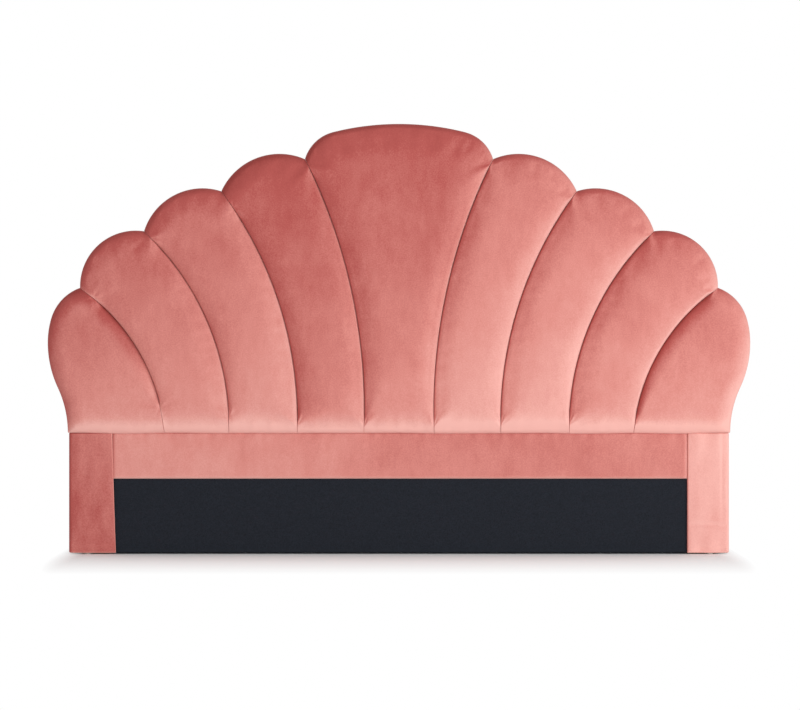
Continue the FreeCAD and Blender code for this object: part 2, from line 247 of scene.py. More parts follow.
def ripples(points, seed, wave, count=7):
    """Uneven low waves between about -1 and 1: a few sines of nearby lengths that run in
    different directions."""
    rng = np.random.default_rng(seed)
    angle = rng.uniform(0, np.pi, count)
    number = 2 * np.pi / (wave * rng.uniform(0.7, 1.5, count))
    phase = rng.uniform(0, 2 * np.pi, count)
    run = points[..., 0, None] * np.cos(angle) + points[..., 1, None] * np.sin(angle)
    return np.sin(run * number + phase).sum(-1) / math.sqrt(count)


# %% Helpers on meshes
def grid_faces(rows, columns, start=0):
    """Four corners of each face of a grid of points, counted row by row from start."""
    at = start + np.arange(rows * columns).reshape(rows, columns)
    corners = [at[:-1, :-1], at[:-1, 1:], at[1:, 1:], at[1:, :-1]]
    return np.stack(corners, axis=-1).reshape(-1, 4)


def edge_ring(rows, columns):
    """The points round a grid's edge, in order."""
    at = np.arange(rows * columns).reshape(rows, columns)
    return np.concatenate([at[0, :-1], at[:-1, -1], at[-1, :0:-1], at[:0:-1, 0]])


MERGE_WITHIN = 0.02 * mm


def to_object(name, points, faces, tone=None):
    """A smooth mesh object from points and a list of faces, with doubles merged and faces
    turned outwards."""
    mesh = bpy.data.meshes.new(name)
    mesh.from_pydata(points.reshape(-1, 3).tolist(), [], faces)
    if tone is not None:
        shade = mesh.attributes.new("tone", "FLOAT", "POINT")
        shade.data.foreach_set("value", tone.astype(np.float32).ravel())
    work = bmesh.new()
    work.from_mesh(mesh)
    bmesh.ops.remove_doubles(work, verts=work.verts, dist=MERGE_WITHIN)
    bmesh.ops.recalc_face_normals(work, faces=work.faces)
    work.to_mesh(mesh)
    work.free()
    mesh.shade_smooth()
    obj = bpy.data.objects.new(name, mesh)
    bpy.context.scene.collection.objects.link(obj)
    return obj


def shell(name, outside, inside, tone=None):
    """A closed shell: both grids, and a strip from edge to edge."""
    rows, columns = outside.shape[:2]
    count = rows * columns
    ring = edge_ring(rows, columns)
    after = np.roll(ring, -1)
    strip = np.stack([after, ring, ring + count, after + count], axis=1)
    inner = grid_faces(rows, columns, count)[:, ::-1]
    faces = np.concatenate([grid_faces(rows, columns), inner, strip])
    tones = None if tone is None else np.concatenate([tone.ravel(), tone.ravel()])
    return to_object(name, np.stack([outside, inside]), faces.tolist(), tones)


def subdivided(obj, levels=1):
    """One finishing subdivision, the same in the view and in the render."""
    finish = obj.modifiers.new("Subdivision", "SUBSURF")
    finish.levels = finish.render_levels = levels
    return obj


# %% [markdown]
# ## How a petal's face sinks
# The velvet is one cloth, pulled down into the foam along each seam. A groove could be cut with
# a boolean, but then its sides wouldn't be rounded. Here the face sinks by a sum of round-offs,
# each a function of the distance to a seam, to the rim or to the foot. A seam dies out a little
# before the notch and before the foot, where the cloth is only gathered.

# %% Sizes of the grooves and rolls
GROOVE_DEPTH = [14 * mm, 14 * mm, 14 * mm, 20 * mm]
GROOVE_ROUND = [13 * mm, 14 * mm, 15 * mm, 10 * mm]
OUTER_ROUND = 42 * mm
LAST_SEAM_INNER_ROUND = 8 * mm
FAINT_DEPTH, FAINT_ROUND = 1.2 * mm, 9 * mm
SEAM_FADE = 45 * mm
RIM_ROUND, RIM_DEPTH = 50 * mm, 30 * mm
FOOT_ROUND, FOOT_DEPTH = 42 * mm, 21.5 * mm
SLACK = 3.5 * mm
FOOT_SAG = 2.2 * mm
# from the foot and from the notch, how long the seam has died out: right side, then left side
SEAM_STARTS = {
    1: [(14 * mm, 8 * mm), (16 * mm, 14 * mm), (22 * mm, 6 * mm), (22 * mm, 10 * mm)],
    -1: [(14 * mm, 24 * mm), (20 * mm, 57 * mm), (40 * mm, 28 * mm), (66 * mm, 44 * mm)],
}


# %% Sink functions
def along_seam(points, seam):
    """How far each point is from the seam's arc, and how far up the arc it is from the foot."""
    centre, radius = arc_of(seam_feet[seam], notches[seam], SEAM_BOWS[seam])
    away = points - centre
    start = angle_of(seam_feet[seam] - centre)
    sweep = angle_of(notches[seam] - centre) - start
    sweep = (sweep + np.pi) % (2 * np.pi) - np.pi
    angle = np.arctan2(away[..., 1], away[..., 0]) - start
    angle = (angle + np.pi) % (2 * np.pi) - np.pi
    off = np.abs(np.hypot(away[..., 0], away[..., 1]) - radius)
    return off, angle * radius * np.sign(sweep), abs(sweep) * radius


def groove(points, seam, side, reach):
    """The sink of one seam: its depth and its round-off grow from faint to full along it."""
    off, up, length = along_seam(points, seam)
    low, high = SEAM_STARTS[side][seam]
    if reach == OUTER_ROUND:
        reach = reach * (0.35 + 0.65 * smooth(up, 30 * mm, 220 * mm))
    full = smooth(up, low, low + SEAM_FADE) * smooth(length - up, high, high + SEAM_FADE)
    depth = FAINT_DEPTH + (GROOVE_DEPTH[seam] - FAINT_DEPTH) * full
    width = FAINT_ROUND + (reach - FAINT_ROUND) * full
    slack = SLACK * (1 - np.clip(off / (90 * mm), 0, 1)) ** 2 * full
    return depth * round_off(off / width) + slack


def gathers(points, seam, side, seed):
    """Small creases that fan out where a seam dies out: cosines of the angle about that place,
    which fade with distance."""
    centre, radius = arc_of(seam_feet[seam], notches[seam], SEAM_BOWS[seam])
    rng = np.random.default_rng(seed)
    total = np.zeros(points.shape[:-1])
    ends = ((seam_feet[seam], 1, SEAM_STARTS[side][seam][0]),
            (notches[seam], -1, SEAM_STARTS[side][seam][1]))
    start, stop = (angle_of(p - centre) for p in (seam_feet[seam], notches[seam]))
    turn = np.sign((stop - start + np.pi) % (2 * np.pi) - np.pi)
    for end, way, gap in ends:
        angle = angle_of(end - centre) + way * turn * (gap + 6 * mm) / radius
        place = centre + radius * np.array([math.cos(angle), math.sin(angle)])
        away = points - place
        far = np.hypot(away[..., 0], away[..., 1])
        phi = np.arctan2(away[..., 1], away[..., 0])
        crease = np.cos(5 * phi + rng.uniform(0, 6)) + 0.7 * np.cos(8 * phi + rng.uniform(0, 6))
        total += 0.9 * mm * crease * smooth(far, 2 * mm, 16 * mm) * np.exp(-far / (30 * mm))
        total += 2.2 * mm * np.exp(-(far / (9 * mm)) ** 2)
    return total


def combined(*sinks):
    """Several sinks as one smooth surface: the cube root of the sum of their cubes."""
    return sum(np.maximum(s, 0) ** 3 for s in sinks) ** (1 / 3)


# %% [markdown]
# ## Cloth simulation
# Foam under velvet swells between its seams, and the cloth draws small folds where it is held.
# Those could be sculpted, but Blender's Cloth gives them for nothing: the grid is held along
# its edges, blown up by a little pressure, and its new shape is read back. How far a point may
# move is capped, so the pad keeps its size.

# %% Swell a grid with Cloth
CAP = 5 * mm


def swollen(name, points, held, cap=CAP, pressure=4.0, frames=20):
    """The grid after a short Cloth run: held points stay, others move out by at most cap."""
    rows, columns = points.shape[:2]
    mesh = bpy.data.meshes.new(name)
    mesh.from_pydata(points.reshape(-1, 3).tolist(), [], grid_faces(rows, columns).tolist())
    obj = bpy.data.objects.new(name, mesh)
    bpy.context.scene.collection.objects.link(obj)
    group = obj.vertex_groups.new(name="held")
    weights = held.ravel()
    for level in np.unique(np.round(weights, 1)):
        chosen = np.flatnonzero(np.round(weights, 1) == level)
        if level > 0:
            group.add(chosen.tolist(), float(level), "REPLACE")
    cloth = obj.modifiers.new("Cloth", "CLOTH")
    settings = cloth.settings
    settings.vertex_group_mass = "held"
    settings.use_pressure = True
    settings.uniform_pressure_force = pressure
    settings.quality = 4
    settings.mass = 0.3
    settings.tension_stiffness = settings.compression_stiffness = 20
    settings.shear_stiffness = 10
    settings.bending_stiffness = 4
    settings.effector_weights.gravity = 0
    cloth.point_cache.frame_start, cloth.point_cache.frame_end = 1, frames
    for step in range(1, frames + 1):
        bpy.context.scene.frame_set(step)
    done = obj.evaluated_get(bpy.context.evaluated_depsgraph_get()).data
    after = np.empty(len(done.vertices) * 3, np.float32)
    done.vertices.foreach_get("co", after)
    bpy.data.objects.remove(obj)
    bpy.data.meshes.remove(mesh)
    bpy.context.scene.frame_set(1)
    moved = after.reshape(points.shape).astype(float) - points
    far = np.linalg.norm(moved, axis=-1, keepdims=True)
    print(name, "moved at most %.1f mm before the cap" % (far.max() / mm))
    return points + moved * (cap * np.tanh(far / cap) / np.maximum(far, 1e-9))


# %% [markdown]
# ## A petal
# Its face is a patch between two seams, the foot and the rim. Past the rim the cloth goes back
# over the frame's edge and turns in behind it. The inside of the shell lies on the plywood and
# the timber, so the petal is a closed pad like the real one.

# %% Grid sizes of a petal
ACROSS, UP = 50, 112
WALL_SHARES = [0.1, 0.28, 0.5, 0.72, 0.9, 0.97]
BACK_ROUND, BACK_RETURN = 4 * mm, 24 * mm
COVER_OVER_RIM = 6.5 * mm


# %% Front of a petal, right half
def centre_plan():
    """The centre petal's patch, both halves, and its seams."""
    left = seams[0] * mirror_x
    foot = np.stack([left[0], seams[0][0]])
    crown = crown_half()
    crown = np.concatenate([crown[::-1] * mirror_x, crown[1:]])
    return patch(foot, crown, left, seams[0], pinched(2 * ACROSS - 20, 0.75), pinched(UP, 0.7))


def side_plan(number):
    """A side petal's patch: 1 to 3 lie between two seams, and 4 between a seam and the flank,
    so its rows run from the seam to the edge and end together at the notch."""
    if number < 4:
        left, right = seams[number - 1], seams[number]
        foot = np.stack([left[0], right[0]])
        return patch(foot, tops[number - 1], left, right, pinched(ACROSS, 0.75), pinched(UP, 0.7))
    seam, edge = seams[3], outer_edge[::-1]
    foot = np.stack([seam[0], edge[0]])
    notch = np.stack([seam[-1], edge[-1]])
    return patch(seam, edge, foot, notch, pinched(UP, 0.7), pinched(ACROSS + 6, 0.75))


def petal_sink(plan, number, side):
    """How deep each point of a petal's face lies behind the crown of the pad."""
    rim = off_line(plan, whole_outline)
    sinks = [RIM_DEPTH * round_off(rim / RIM_ROUND)]
    sinks.append(FOOT_DEPTH * round_off((plan[..., 1] - foot_z) / FOOT_ROUND))
    if number == 0:
        right, left = np.maximum(plan, [0, 0]), plan * mirror_x
        on_right = plan[..., 0] >= 0
        for half, way in ((right, 1), (left, -1)):
            sink = groove(half, 0, way, GROOVE_ROUND[0]) + gathers(half, 0, way, 40 + way)
            sinks.append(np.where(on_right == (way == 1), sink, 0))
    else:
        reach = OUTER_ROUND if number == 4 else GROOVE_ROUND[number - 1]
        seed = 10 * number + side
        inner_sink = groove(plan, number - 1, side, reach)
        sinks.append(inner_sink + gathers(plan, number - 1, side, 40 * number + side))
        if number < 4:
            reach = GROOVE_ROUND[number] if number < 3 else LAST_SEAM_INNER_ROUND
            outer_sink = groove(plan, number, side, reach)
            sinks.append(outer_sink + gathers(plan, number, side, 40 * (number + 1) + side))
    up = plan[..., 1] - foot_z
    folds = 0.8 * mm * ripples(plan * [1, 0.25], 7 * number + side, 34 * mm)
    folds *= np.exp(-up / (26 * mm))
    folds += 0.5 * mm * ripples(plan, 90 + number * side, 60 * mm) * np.exp(-rim / (40 * mm))
    edge = smooth(np.minimum(rim, up), 0, 6 * mm)
    folds = folds + 0.35 * mm * ripples(plan, 60 + number, 150 * mm)
    return combined(*sinks) + folds * edge, rim


def inward_of(plan, number):
    """For each column, the direction in from the rim: square to the edge, but along the seam
    at a seam, so that neighbours meet there."""
    edge = plan[-1]
    run = np.gradient(edge, axis=0)
    run /= np.linalg.norm(run, axis=1, keepdims=True)
    square = np.stack([run[:, 1], -run[:, 0]], axis=1)
    inner = plan[-8] - edge
    square *= np.sign((square * inner).sum(1, keepdims=True))
    ends = [plan[-3, 0] - edge[0], plan[-3, -1] - edge[-1]]
    if number == 4:
        ends = [square[0], seams[3][-6] - seams[3][-1]]
    reach = np.hypot(*(edge - edge[0]).T), np.hypot(*(edge - edge[-1]).T)
    for end, far in zip(ends, reach):
        near = 1 - smooth(far, 0, 30 * mm)[:, None]
        square = square * (1 - near) + near * end / np.linalg.norm(end)
    return square / np.linalg.norm(square, axis=1, keepdims=True)


# %% The whole petal
def petal(number, side):
    """Outside and inside grids of a petal, rows from the foot (or the seam) to the return."""
    plan = centre_plan() if number == 0 else side_plan(number)
    sink, rim = petal_sink(plan, number, side)
    sag = FOOT_SAG * (1 + 0.5 * ripples(plan * [side, 0], 3, 260 * mm))
    drop = sag * np.exp(-(plan[..., 1] - foot_z) / (10 * mm)) * smooth(rim, 0, 40 * mm)
    front = np.stack([plan[..., 0], front_y + 2 * mm + sink, plan[..., 1] - drop], axis=-1)
    held = np.zeros(front.shape[:2])
    held[0], held[-1], held[:, 0], held[:, -1] = 1, 1, 1, 1
    held = np.maximum(held, smooth(sink, 4 * mm, 14 * mm))
    up = number < 4
    flip = front if up else front[:, ::-1]
    out = swollen("swell_%d_%d" % (number, side), flip, held if up else held[:, ::-1])
    front = out if up else out[:, ::-1]
    edge, inward = plan[-1], inward_of(plan, number)
    edge_y = front[-1, :, 1]
    shares = np.array(WALL_SHARES)[:, None]
    turn = np.radians([30, 60, 90])
    back = np.linspace(BACK_ROUND, BACK_RETURN, 5)[1:]
    wall_y = edge_y + (velvet_back_y - BACK_ROUND - edge_y) * shares
    turn_y = velvet_back_y - BACK_ROUND * (1 - np.sin(turn))
    in_by = np.concatenate([0 * shares[:, 0], BACK_ROUND * (1 - np.cos(turn)), back])
    y = np.concatenate([wall_y, np.repeat(turn_y[:, None], len(edge), 1),
                        np.full((len(back), len(edge)), velvet_back_y)])
    round_rim = edge + inward * in_by[:, None, None]
    wall = np.stack([round_rim[..., 0], y, round_rim[..., 1]], axis=-1)
    outside = np.concatenate([front, wall])

    pull = np.maximum(COVER_OVER_RIM - rim, 0)[..., None]
    lay = plan + inward * pull
    inner_front = np.stack([lay[..., 0], np.full(rim.shape, panel_y), lay[..., 1]], axis=-1)
    in_y = np.minimum(np.maximum(y, panel_y + 0.3 * mm), timber_back_y)
    in_y[:len(WALL_SHARES)] = panel_y + (timber_back_y - panel_y) * shares
    under = edge + inward * np.maximum(in_by, COVER_OVER_RIM)[:, None, None]
    inner_wall = np.stack([under[..., 0], in_y, under[..., 1]], axis=-1)
    inside = np.concatenate([inner_front, inner_wall])
    return outside, inside


# %% [markdown]
# ## Brushed velvet, with painted light and shade
# Velvet has no single colour: its pile lies one way, so it looks pale where it leans to the
# light and deep where it leans away. Each panel was brushed a little differently. A `tone`
# value on every point carries how the pile lies there together with painted light and shade,
# from deep at 0 to pale at 1, and the material adds painted light and shade from the surface's
# own direction, partly the pile's lie. Mixing two flat colours by hand would miss the dark upper
# edges and the pale lower roll, which are painted here as shade and light.

# %% Tone and painted light of each petal
# Each petal's own tone, partly its brushing and partly painted light: the right petals are set
# paler as if lit from the right.
PETAL_TONES_AND_LIGHT = {
    (0, 1): 0.0,
    (1, 1): 0.22, (2, 1): 0.23, (3, 1): 0.10, (4, 1): 0.06,
    (1, -1): -0.08, (2, -1): 0.09, (3, -1): 0.04, (4, -1): 0.0,
}


def petal_tone_and_light(grid, number, side):
    """Tone with painted light and shade: paler from the crown down to the foot and on the foot's
    roll as painted light, partly the pile's lie, paler on the petals to the right as painted
    light, and a painted shadow and a painted highlight beside seam 4.
    """
    up = (grid[..., 2] - foot_z) / (top_z - foot_z)
    # Painted light, partly the pile's lie: paler from the crown down to the foot, palest on the
    # foot's roll.
    nap_light_and_shade = 0.06 + 0.44 * np.clip(1 - up, 0, 1) ** 1.7
    nap_light_and_shade += 0.42 * np.exp(-((grid[..., 2] - foot_z) / (34 * mm)) ** 2)
    if number >= 3:
        off = along_seam(grid[..., [0, 2]], 3)[0]
        # Painted shadow: the left outer petal is set deeper beside seam 4, where the inner petal
        # would shade it.
        if number == 4 and side == -1:
            nap_light_and_shade -= 0.30 * (1 - smooth(off, 4 * mm, 50 * mm)) * smooth(up, 0.10, 0.28)
        # Painted highlight: a pale lip on petal 3 along seam 4.
        if number == 3:
            nap_light_and_shade += 0.25 * np.exp(-(off / (6 * mm)) ** 2)
    return nap_light_and_shade + PETAL_TONES_AND_LIGHT[(number, side)]


# %% Make the nine petals
velvet_pieces = []
for number in range(5):
    for side, word in ((1, "right"), (-1, "left")):
        if number == 0 and side == -1:
            continue
        label = "centre" if number == 0 else "%d_%s" % (number, word)
        outside, inside = petal(number, side)
        flip = np.array([side, 1, 1])
        tone = petal_tone_and_light(outside, number, side)
        piece = subdivided(shell("petal_" + label, outside * flip, inside * flip, tone))
        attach(piece, "root")
        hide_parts("petal_cover_" + label, "petal_foam_" + label)
        velvet_pieces.append(piece)
        print(piece.name, len(piece.data.polygons), "faces")

# %% [markdown]
# ## Legs
# Each leg is a post wrapped in thin foam and velvet, from its inner edge round the front and
# the outer side to the back. Its section is one line carried up the leg: a box with a bevel
# would do, but then the cloth couldn't crease. The right leg is creased low down.

# %% Leg section
LEG_ROUND = 9 * mm
LEG_INNER_ROUND = 4 * mm
LEG_NARROW = {1: 4.5 * mm, -1: 0.0}


def rounded_line(corners, radii, step=2.5 * mm):
    """A line through corners, each rounded by its radius: points of the straight runs between
    quarter-circle turns, evenly spaced."""
    corners = np.array(corners, float)
    parts = [corners[:1]]
    for before, corner, after, radius in zip(corners, corners[1:], corners[2:], radii):
        to, on = corner - before, after - corner
        to, on = to / np.hypot(*to), on / np.hypot(*on)
        turn = np.linspace(0, np.pi / 2, 7)[:, None]
        parts.append(corner - to * radius * (1 - np.sin(turn)) + on * radius * (1 - np.cos(turn)))
    line = np.concatenate(parts + [corners[-1:]])
    long = np.hypot(*np.diff(line, axis=0).T).sum()
    return resampled(line, np.linspace(0, 1, int(long / step)))


LEG_ROWS = 60


def leg(side):
    """Outside and inside grids of a leg's wrap: the section's points across, heights up."""
    low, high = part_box("leg_cover_right")
    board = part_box("base_board")[0].y
    x_in, x_out, y_front, y_back = low.x + LEG_NARROW[side], high.x, low.y, high.y
    section = rounded_line(
        [(x_in, board - 1.2 * mm), (x_in, y_front), (x_out, y_front), (x_out, y_back),
         (x_out - BACK_RETURN, y_back)], [LEG_INNER_ROUND, LEG_ROUND, BACK_ROUND])
    core = [(x_in, board - 0.4 * mm), (x_in + 2 * mm, board - 0.2 * mm),
            (x_out - 6 * mm, board - 0.2 * mm), (x_out - 6 * mm, timber_back_y),
            (x_out - BACK_RETURN, timber_back_y)]
    lining = rounded_line(core, [0.1 * mm] * 3)
    lining = resampled(lining, np.linspace(0, 1, len(section)))
    up = pinched(LEG_ROWS, 0.6)[:, None]
    z = low.z + (high.z - low.z) * up
    s = np.broadcast_to(section[None], (LEG_ROWS, len(section), 2))
    place = np.stack([np.broadcast_to(z, s.shape[:2]), s[..., 0]], axis=-1)
    hem = round_off((z - low.z) / (4 * mm)) * 3 * mm
    on_front = smooth(-s[..., 1], 0.010, -y_front - 1 * mm)
    edge = np.minimum(s[..., 0] - x_in, x_out - s[..., 0])
    swell = 2.0 * mm * smooth(edge, 0, 35 * mm) * smooth(z - low.z, 0, 30 * mm)
    uneven = (0.8 if side == 1 else 0.5) * mm * ripples(place * [0.35, 1], 31 + side, 45 * mm)
    crease = 0
    if side == 1:
        high_crease = 82 * mm + 3 * mm * np.sin(s[..., 0] * 40)
        crease = 1.8 * mm * np.exp(-((z - high_crease) / (4 * mm)) ** 2)
        crease -= 1.0 * mm * np.exp(-((z - high_crease - 9 * mm) / (7 * mm)) ** 2)
        lengthwise = np.exp(-((s[..., 0] - x_out + 20 * mm) / (4 * mm)) ** 2)
        crease += 0.9 * mm * lengthwise * smooth(z, 60 * mm, 200 * mm)
    face = (swell + uneven - crease) * on_front * smooth(edge, 0, 12 * mm)
    x = s[..., 0] - hem * smooth(s[..., 0], x_out - 12 * mm, x_out)
    if side == -1:
        lean = 13 * mm * (1 - up) * (1 - smooth(s[..., 0], x_in, x_in + 60 * mm))
        x = x - lean * smooth(-s[..., 1], -board, -y_front)
    outside = np.stack([x, s[..., 1] - face + hem * on_front, np.broadcast_to(z, x.shape)], -1)
    c = np.broadcast_to(lining[None], (LEG_ROWS, len(lining), 2))
    z_in = np.maximum(z, low.z + 1.5 * mm)
    inside = np.stack([c[..., 0], c[..., 1], np.broadcast_to(z_in, x.shape)], -1)
    return outside, inside


# The right leg is set much paler than the left, partly its pile's lie and partly painted light
# from the right; the left leg is also set deeper towards the floor.
LEG_TONES_AND_LIGHT = {1: 0.84, -1: 0.24}
for side, word in ((1, "right"), (-1, "left")):
    outside, inside = leg(side)
    flip = np.array([side, 1, 1])
    tone = np.full(outside.shape[:2], LEG_TONES_AND_LIGHT[side])
    tone -= 0.12 * smooth(foot_z - outside[..., 2], 0.02, 0.33) * (side == -1)
    piece = subdivided(shell("leg_wrap_" + word, outside * flip, inside * flip, tone))
    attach(piece, "root")
    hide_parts("leg_cover_" + word, "leg_pad_" + word)
    velvet_pieces.append(piece)
    print(piece.name, len(piece.data.polygons), "faces")

# %% [markdown]
# ## The band
# A strip of velvet over thin wadding runs between the legs, under the fan. It is a low pad with
# a soft roll at its lower edge, so a grid with a round-off along that edge is all it takes.

# %% Band
BAND_ROUND = 7 * mm
BAND_COLUMNS, BAND_ROWS = 260, 26


def band():
    """Outside and inside grids of the band: its face sinks by a quarter ellipse at its foot."""
    low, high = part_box("band_cover")
    x = np.linspace(low.x, high.x + LEG_NARROW[1], BAND_COLUMNS)[None, :]
    up = pinched(BAND_ROWS, 0.6)[:, None]
    z = low.z + (high.z - low.z) * up
    place = np.stack(np.broadcast_arrays(x, z), axis=-1)
    depth = high.y - low.y
    sink = (depth - 0.8 * mm) * round_off((z - low.z) / BAND_ROUND)
    sink = sink + 3 * mm * round_off(np.minimum(x - low.x, x.max() - x) / (5 * mm))
    swell = 1.4 * mm * np.sin(np.pi * up) ** 0.7
    wave = 0.5 * mm * ripples(place * [1, 0.4], 17, 70 * mm) * smooth(z - low.z, 0, 12 * mm)
    tucks = ripples(place * [1, 0.15], 18, 28 * mm)
    wave = wave + 0.7 * mm * tucks * smooth(z, high.z - 0.03, high.z)
    y = low.y + np.minimum(sink, depth - 0.6 * mm) - swell + wave
    outside = np.stack([place[..., 0], y, place[..., 1]], axis=-1)
    inside = np.stack([place[..., 0], np.full(y.shape, high.y), place[..., 1]], axis=-1)
    return outside, inside


outside, inside = band()
share = (outside[..., 0] + half_width) / (2 * half_width)
tone = 0.56 - 0.22 * smooth(share, 0.1, 0.6)
band_piece = subdivided(shell("velvet_band", outside, inside, tone))
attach(band_piece, "root")
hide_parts("band_cover", "band_pad")
velvet_pieces.append(band_piece)
print(band_piece.name, len(band_piece.data.polygons), "faces")

# %% [markdown]
# ## Black cloth between the legs
# This thin cloth is stapled over the base board: it comes down from under the band and turns
# under the board's lower edge. It is a sheet, so it is modelled as a thin closed skin of its
# real thickness, with the slight waves that stapling leaves.

# %% Front cloth
CLOTH_COLUMNS = 200
low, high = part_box("front_cloth")
board_y, board_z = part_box("base_board")[0].y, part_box("base_board")[0].z
drop_line = rounded_line([(low.y, high.z), (low.y, low.z), (high.y, low.z)], [2 * mm], 3 * mm)
inner_line = rounded_line(
    [(board_y, high.z), (board_y, board_z), (high.y, board_z)], [1 * mm], 3 * mm)
inner_line = resampled(inner_line, np.linspace(0, 1, len(drop_line)))
x = np.linspace(low.x, high.x + LEG_NARROW[1], CLOTH_COLUMNS)[:, None]
place = np.stack(np.broadcast_arrays(x, drop_line[None, :, 1]), axis=-1)
wave = 0.35 * mm * ripples(place * [1, 0.3], 5, 90 * mm) - 0.35 * mm
wave = wave * smooth(drop_line[None, :, 1], 0.004, 0.03)
outside = np.stack([place[..., 0], drop_line[None, :, 0] + wave, place[..., 1]], axis=-1)
inner = np.broadcast_to(inner_line[None], place.shape)
inside = np.stack([place[..., 0], inner[..., 0], inner[..., 1]], axis=-1)
front_cloth = shell("black_front_cloth", outside, inside)
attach(front_cloth, "root")
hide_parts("front_cloth")

# %% [markdown]
# ## Dust cloth on the back
# The back is closed by one sheet of thin non-woven cloth, a little smaller than the shell. Its
# outline is the fan's, moved in, so rays from the middle to that outline cover it without
# folds. Between its staples the cloth lies a little loose.

# %% Dust cloth
DUST_SET_IN, DUST_THICK = 14 * mm, 0.25 * mm
HALF_LOOP_POINTS = 260
low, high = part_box("dust_cloth")


def moved_in(line, by):
    """A line moved to its inner side: each point goes along the normal of its own step."""
    run = np.gradient(line, axis=0)
    run /= np.linalg.norm(run, axis=1, keepdims=True)
    return line + by * np.stack([run[:, 1], -run[:, 0]], axis=1)


half = np.concatenate([moved_in(part, DUST_SET_IN) for part in [crown_half(), *tops, outer_edge]])
leg_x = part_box("leg_cover_right")[1].x - DUST_SET_IN
half = half[half[:, 1] > foot_z + 1 * mm]
corner = np.array([leg_x, low.z])
base = np.concatenate([np.linspace([leg_x, foot_z], corner, 30),
                       np.linspace(corner, [0, low.z], 60)])
half = np.concatenate([half, base])
half = resampled(half, np.linspace(0, 1, HALF_LOOP_POINTS))
loop = np.concatenate([half, half[-2:0:-1] * mirror_x])
middle = np.array([0.0, foot_z + 0.25 * (top_z - foot_z)])
share = np.concatenate([np.linspace(0, 0.9, 26)[1:], np.linspace(0.9, 1, 8)[1:]])
flat = middle + share[:, None, None] * (loop - middle)
flat = np.concatenate([flat, flat[:, :1]], axis=1)
edge = off_line(flat, np.concatenate([loop, loop[:1]]))
loose = 1.1 * mm * (1 + 0.8 * ripples(flat, 71, 260 * mm)) * smooth(edge, 16 * mm, 110 * mm)
pull = 0.7 * mm * ripples(flat, 72, 70 * mm) * np.exp(-edge / (80 * mm))
pull = pull * smooth(edge, 18 * mm, 50 * mm)
y_in = low.y + 0.02 * mm + np.maximum(loose + pull, 0)
y_out = y_in + DUST_THICK
count = flat.shape[0] * flat.shape[1]
ring = np.arange(flat.shape[1])
last = count - flat.shape[1] + ring
faces = [grid_faces(*flat.shape[:2]), grid_faces(*flat.shape[:2], count)[:, ::-1]]
faces.append(np.stack([last[:-1], last[1:], last[1:] + count, last[:-1] + count], axis=1))
points = np.stack([np.stack([flat[..., 0], y, flat[..., 1]], -1) for y in (y_out, y_in)])
hub = np.array([[middle[0], points[k, 0, :, 1].mean(), middle[1]] for k in (0, 1)])
points = np.concatenate([points.reshape(-1, 3), hub])
pairs = np.stack([ring[:-1], ring[1:]], axis=1)
hub_faces = [np.insert(pairs + k * count, 0, 2 * count + k, axis=1) for k in (0, 1)]
hub_faces = np.concatenate(hub_faces).tolist()
dust = to_object("dust_sheet", points, np.concatenate(faces).tolist() + hub_faces)
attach(dust, "root")
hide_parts("dust_cloth")

# %% [markdown]
# ## Materials
# Each finish is built from nodes. Effects that several finishes share are node groups, made
# once: the nap of velvet with its painted light and shade, and a fine grain that puts a little
# unevenness into a colour.


# %% Node helpers
def linear(r, g, b):
    """A colour of 0 to 255 steps as Blender's linear values."""
    c = np.array([r, g, b]) / 255
    return tuple(np.where(c <= 0.04045, c / 12.92, ((c + 0.055) / 1.055) ** 2.4)) + (1.0,)


def maths(tree, operation, a, b=0.0):
    """One step of arithmetic on sockets or plain numbers."""
    node = tree.nodes.new("ShaderNodeMath")
    node.operation = operation
    for socket, value in zip(node.inputs, (a, b)):
        if isinstance(value, (int, float)):
            socket.default_value = value
        else:
            tree.links.new(value, socket)
    return node.outputs[0]


def ramp(tree, value, stops):
    """A colour ramp with these stops."""
    node = tree.nodes.new("ShaderNodeValToRGB")
    while len(node.color_ramp.elements) < len(stops):
        node.color_ramp.elements.new(0.5)
    for element, (place, colour) in zip(node.color_ramp.elements, stops):
        element.position = place
        element.color = colour
    tree.links.new(value, node.inputs[0])
    return node.outputs[0]


def noise(tree, scale, detail=3.0, roughness=0.55, stretch=None):
    """Noise on object coordinates, from 0 to 1, stretched along an axis if asked."""
    coordinates = tree.nodes.new("ShaderNodeTexCoord").outputs["Object"]
    if stretch:
        mapping = tree.nodes.new("ShaderNodeMapping")
        mapping.inputs["Scale"].default_value = stretch
        tree.links.new(coordinates, mapping.inputs["Vector"])
        coordinates = mapping.outputs[0]
    node = tree.nodes.new("ShaderNodeTexNoise")
    node.inputs["Scale"].default_value = scale
    node.inputs["Detail"].default_value = detail
    node.inputs["Roughness"].default_value = roughness
    tree.links.new(coordinates, node.inputs["Vector"])
    return node.outputs["Fac"]


def seen_directly(tree):
    """1 for camera, glossy and transmission rays, 0 for the rays that carry light."""
    path = tree.nodes.new("ShaderNodeLightPath")
    seen = maths(tree, "MAXIMUM", path.outputs["Is Camera Ray"], path.outputs["Is Glossy Ray"])
    return maths(tree, "MAXIMUM", seen, path.outputs["Is Transmission Ray"])


def new_group(name, inputs, outputs):
    """An empty shader group with named sockets."""
    group = bpy.data.node_groups.new(name, "ShaderNodeTree")
    for label, kind, value in inputs:
        socket = group.interface.new_socket(label, in_out="INPUT", socket_type=kind)
        if value is not None:
            socket.default_value = value
    for label, kind in outputs:
        group.interface.new_socket(label, in_out="OUTPUT", socket_type=kind)
    return group, group.nodes.new("NodeGroupInput"), group.nodes.new("NodeGroupOutput")


# %% Group: nap of the velvet, with painted light and shade
# How far the surface's direction paints the colour: paler facing right as painted light, deeper
# facing up as painted shade, partly the pile's lie.
NAP_AND_LIGHT_RIGHT, NAP_AND_SHADE_UP = 0.58, -0.62


